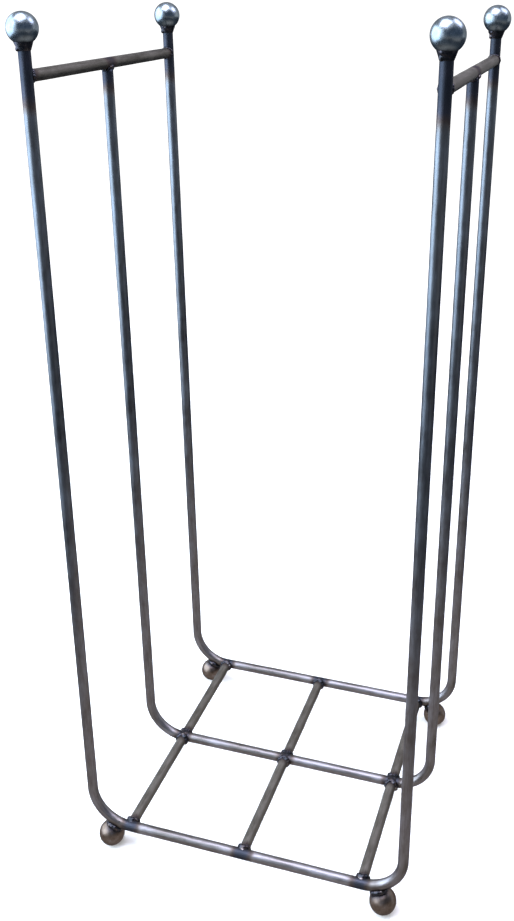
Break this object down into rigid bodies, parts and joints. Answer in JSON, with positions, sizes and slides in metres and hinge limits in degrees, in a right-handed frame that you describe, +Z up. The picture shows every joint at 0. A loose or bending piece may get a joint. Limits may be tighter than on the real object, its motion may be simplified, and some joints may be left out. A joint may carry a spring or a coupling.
{
  "type": "newspaper rack",
  "caption": "Open floor-standing rack for newspapers: U-bent round steel bars joined by side rails and a welded base grid, with ball finials and ball feet.",
  "frame": {"origin": "centre of the footprint, on the floor", "axes": "+Z up, +X to the rack's right seen from the front, +Y from front to back"},
  "size_m": [0.419, 0.35, 0.9484],
  "materials": {
    "frame_steel": "dark burnished, satin, clear waxed",
    "cross_bar_steel": "dull grey-brown mill finish",
    "ball_steel": "dark polished",
    "foot_steel": "dark, part polished, browned by weld heat",
    "weld_metal": "weld bead with dark blue-purple heat tint"
  },
  "bodies": {
    "root": {"front_frame": "frame_steel", "middle_frame": "frame_steel", "rear_frame": "frame_steel", "left_rail": "cross_bar_steel", "right_rail": "cross_bar_steel", "base_bar_front_left": "cross_bar_steel", "base_bar_front_centre": "cross_bar_steel", "base_bar_front_right": "cross_bar_steel", "base_bar_rear_left": "cross_bar_steel", "base_bar_rear_centre": "cross_bar_steel", "base_bar_rear_right": "cross_bar_steel", "finial_front_left": "ball_steel", "finial_front_right": "ball_steel", "finial_rear_left": "ball_steel", "finial_rear_right": "ball_steel", "ball_foot_front_left": "foot_steel", "ball_foot_front_right": "foot_steel", "ball_foot_rear_left": "foot_steel", "ball_foot_rear_right": "foot_steel", "finial_weld_front_left": "weld_metal", "foot_weld_front_left": "weld_metal", "finial_weld_front_right": "weld_metal", "foot_weld_front_right": "weld_metal", "finial_weld_rear_left": "weld_metal", "foot_weld_rear_left": "weld_metal", "finial_weld_rear_right": "weld_metal", "foot_weld_rear_right": "weld_metal", "rail_weld_front_left": "weld_metal", "rail_weld_front_right": "weld_metal", "grid_weld_front_left": "weld_metal", "grid_weld_front_centre": "weld_metal", "grid_weld_front_right": "weld_metal", "rail_weld_middle_left": "weld_metal", "rail_weld_middle_right": "weld_metal", "grid_weld_middle_left": "weld_metal", "grid_weld_middle_centre": "weld_metal", "grid_weld_middle_right": "weld_metal", "rail_weld_rear_left": "weld_metal", "rail_weld_rear_right": "weld_metal", "grid_weld_rear_left": "weld_metal", "grid_weld_rear_centre": "weld_metal", "grid_weld_rear_right": "weld_metal"}
  },
  "joints": []
}
